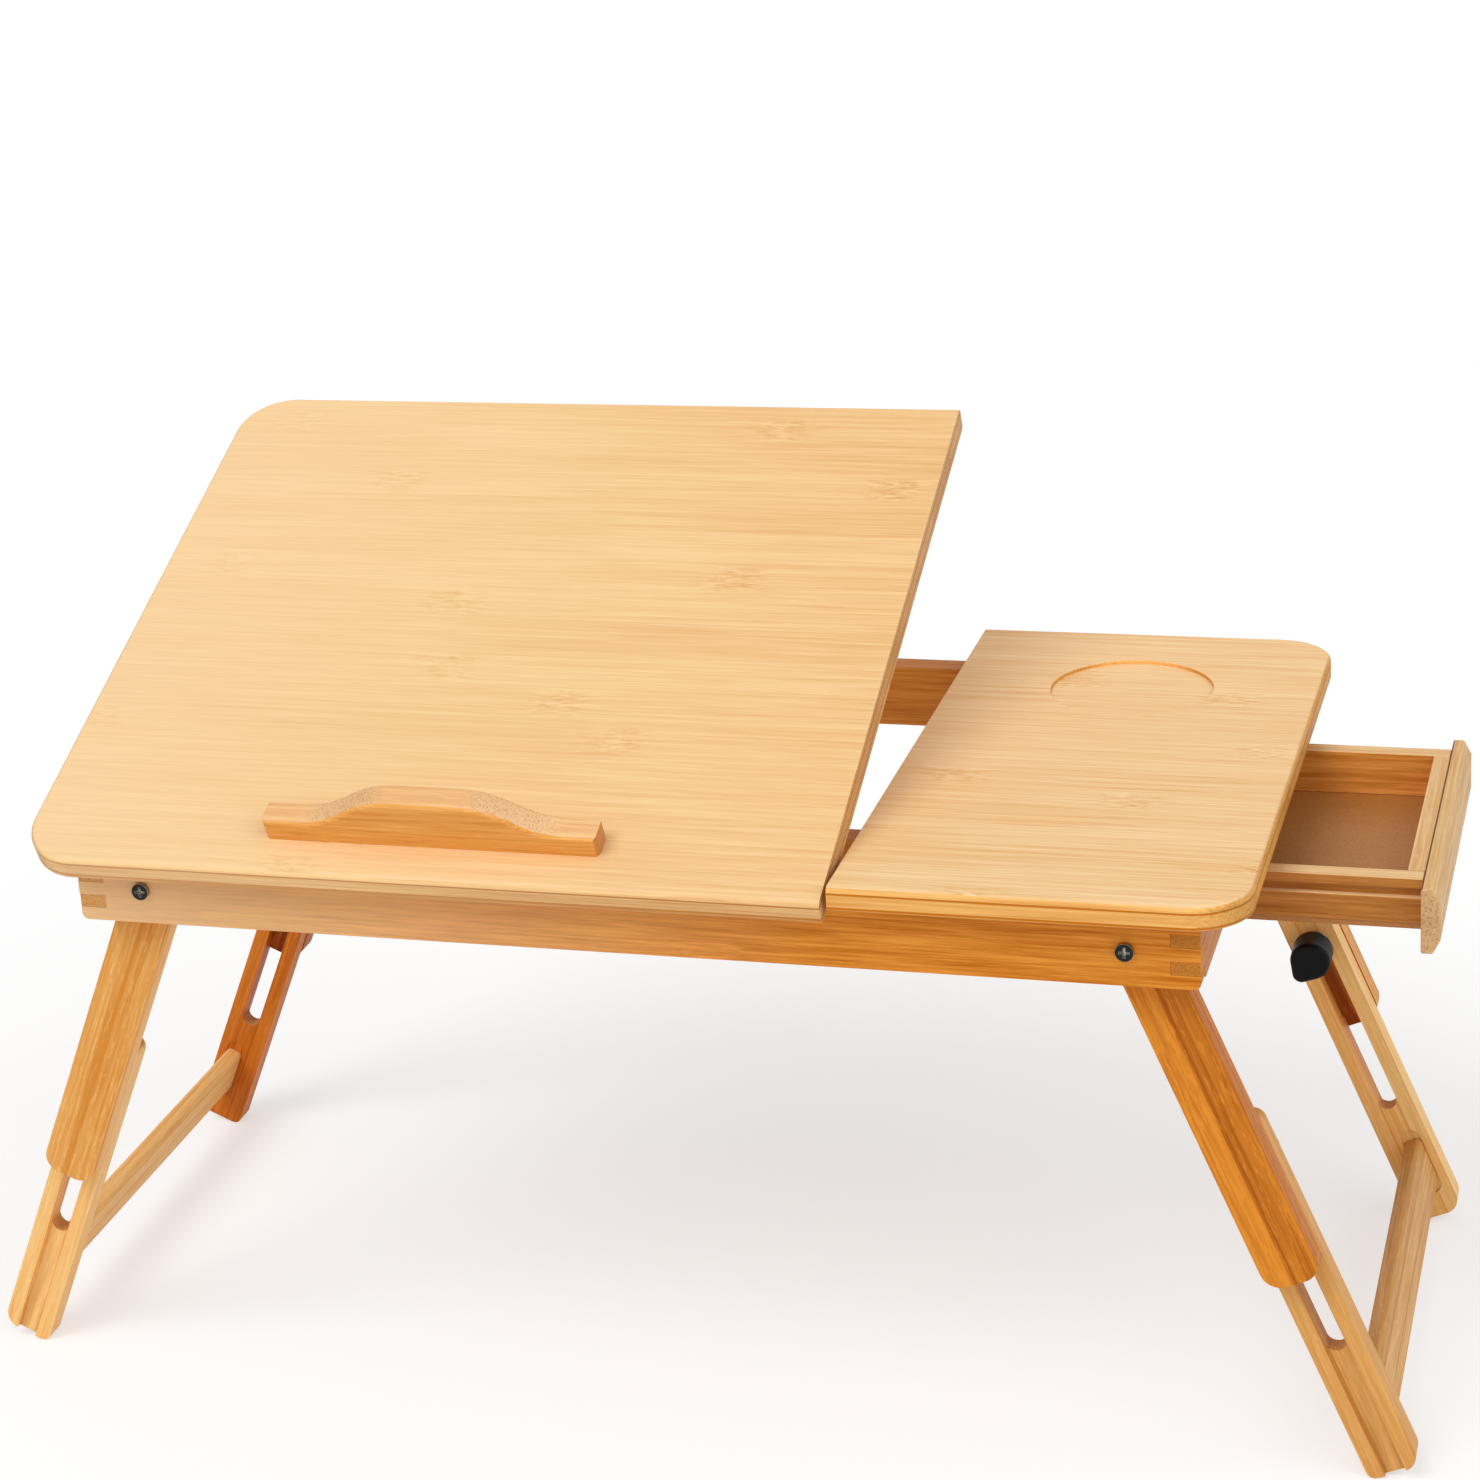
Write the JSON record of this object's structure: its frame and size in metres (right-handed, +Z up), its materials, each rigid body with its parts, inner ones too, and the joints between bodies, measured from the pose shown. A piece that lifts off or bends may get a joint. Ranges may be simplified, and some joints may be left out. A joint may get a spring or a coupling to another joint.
{
  "type": "laptop stand with drawer",
  "caption": "Folding bamboo bed tray for a laptop: tilting panel with stop ledge on a prop, fixed side panel, telescoping fold-under legs and a small side drawer.",
  "frame": {"origin": "on the floor, midway across the tray's width and depth with the legs out", "axes": "+X to the right, towards the drawer; +Y to the back, where the raised panel is highest; +Z up"},
  "size_m": [0.6225, 0.3027, 0.3712],
  "materials": {
    "pale_bamboo": "laminated bamboo board, clear satin lacquer",
    "frame_bamboo": "solid bamboo, clear satin lacquer",
    "leg_bamboo": "solid bamboo, clear satin lacquer",
    "floor_board": "thin brown fibreboard",
    "zinc_steel": "bright nickel and zinc plate",
    "black_plastic": "black moulded plastic"
  },
  "bodies": {
    "frame": {"front_apron": "frame_bamboo", "back_apron": "frame_bamboo", "left_apron": "frame_bamboo", "right_front_stub": "frame_bamboo", "right_back_stub": "frame_bamboo", "drawer_guide_front": "frame_bamboo", "drawer_guide_back": "frame_bamboo", "drawer_runner_front": "frame_bamboo", "drawer_runner_back": "frame_bamboo", "bay_divider": "frame_bamboo", "fixed_panel": "pale_bamboo", "hinge_frame_leaves": "zinc_steel", "hinge_pins": "zinc_steel", "hinge_frame_screws": "zinc_steel", "prop_stretcher": "frame_bamboo", "prop_blocks": "frame_bamboo", "prop_pivot_screws": "zinc_steel", "leg_pivot_screws": "zinc_steel", "leg_pivot_washers": "zinc_steel", "leg_pivot_nuts": "zinc_steel"},
    "tilt_panel": {"tilting_panel": "pale_bamboo", "hinge_panel_leaves": "zinc_steel", "hinge_panel_screws": "zinc_steel", "stop_ledge": "frame_bamboo", "ledge_screws": "zinc_steel", "tilt_rails": "zinc_steel", "tilt_rail_screws": "zinc_steel"},
    "prop": {"prop_left_arm": "frame_bamboo", "prop_right_arm": "frame_bamboo", "prop_crossbar": "frame_bamboo", "prop_rod": "zinc_steel", "prop_rod_nuts": "zinc_steel"},
    "drawer": {"drawer_side_front": "frame_bamboo", "drawer_side_back": "frame_bamboo", "drawer_inner_end": "frame_bamboo", "drawer_outer_end": "frame_bamboo", "drawer_floor_board": "floor_board", "drawer_face": "pale_bamboo", "drawer_face_screws": "zinc_steel"},
    "left_upper_legs": {"front_left_upper_leg": "leg_bamboo", "back_left_upper_leg": "leg_bamboo", "left_clamp_studs": "zinc_steel", "left_clamp_washers": "zinc_steel"},
    "left_lower_legs": {"front_left_lower_leg": "leg_bamboo", "back_left_lower_leg": "leg_bamboo", "left_crossbar": "leg_bamboo"},
    "front_left_knob": {"front_left_clamp_knob": "black_plastic"},
    "back_left_knob": {"back_left_clamp_knob": "black_plastic"},
    "right_upper_legs": {"front_right_upper_leg": "leg_bamboo", "back_right_upper_leg": "leg_bamboo", "right_clamp_studs": "zinc_steel", "right_clamp_washers": "zinc_steel"},
    "right_lower_legs": {"front_right_lower_leg": "leg_bamboo", "back_right_lower_leg": "leg_bamboo", "right_crossbar": "leg_bamboo"},
    "front_right_knob": {"front_right_clamp_knob": "black_plastic"},
    "back_right_knob": {"back_right_clamp_knob": "black_plastic"}
  },
  "joints": [
    {"name": "tilt_hinge", "type": "hinge", "parent": "frame", "child": "tilt_panel", "pos_m": [0, -0.1375, 0.24832], "axis": [1, 0, 0], "range_deg": [-23.2, 6.8]},
    {"name": "prop_fold", "type": "hinge", "parent": "frame", "child": "prop", "pos_m": [0, -0.0525, 0.24232], "axis": [1, 0, 0], "range_deg": [-46.09, 13.55]},
    {"name": "drawer_slide", "type": "slide", "parent": "frame", "child": "drawer", "axis": [1, 0, 0], "range_m": [-0.0755, 0.0125]},
    {"name": "left_leg_fold", "type": "hinge", "parent": "frame", "child": "left_upper_legs", "pos_m": [-0.2025, 0, 0.23462], "axis": [0, 1, 0], "range_deg": [-113, 0]},
    {"name": "left_leg_length", "type": "slide", "parent": "left_upper_legs", "child": "left_lower_legs", "axis": [-0.3907, 0, -0.9205], "range_m": [-0.078, 0]},
    {"name": "front_left_knob_turn", "type": "hinge", "parent": "left_upper_legs", "child": "front_left_knob", "pos_m": [-0.24548, -0.09495, 0.13337], "axis": [0, 1, 0], "continuous": true},
    {"name": "back_left_knob_turn", "type": "hinge", "parent": "left_upper_legs", "child": "back_left_knob", "pos_m": [-0.24548, 0.0897, 0.13337], "axis": [0, 1, 0], "continuous": true},
    {"name": "right_leg_fold", "type": "hinge", "parent": "frame", "child": "right_upper_legs", "pos_m": [0.2025, 0, 0.23462], "axis": [0, 1, 0], "range_deg": [0, 113]},
    {"name": "right_leg_length", "type": "slide", "parent": "right_upper_legs", "child": "right_lower_legs", "axis": [-0.3907, 0, 0.9205], "range_m": [0, 0.078]},
    {"name": "front_right_knob_turn", "type": "hinge", "parent": "right_upper_legs", "child": "front_right_knob", "pos_m": [0.24548, -0.09495, 0.13337], "axis": [0, 1, 0], "continuous": true},
    {"name": "back_right_knob_turn", "type": "hinge", "parent": "right_upper_legs", "child": "back_right_knob", "pos_m": [0.24548, 0.0897, 0.13337], "axis": [0, 1, 0], "continuous": true}
  ],
  "couplings": [
    {"joint": "prop_fold", "follows": "tilt_hinge", "ratio": 1.9847}
  ]
}
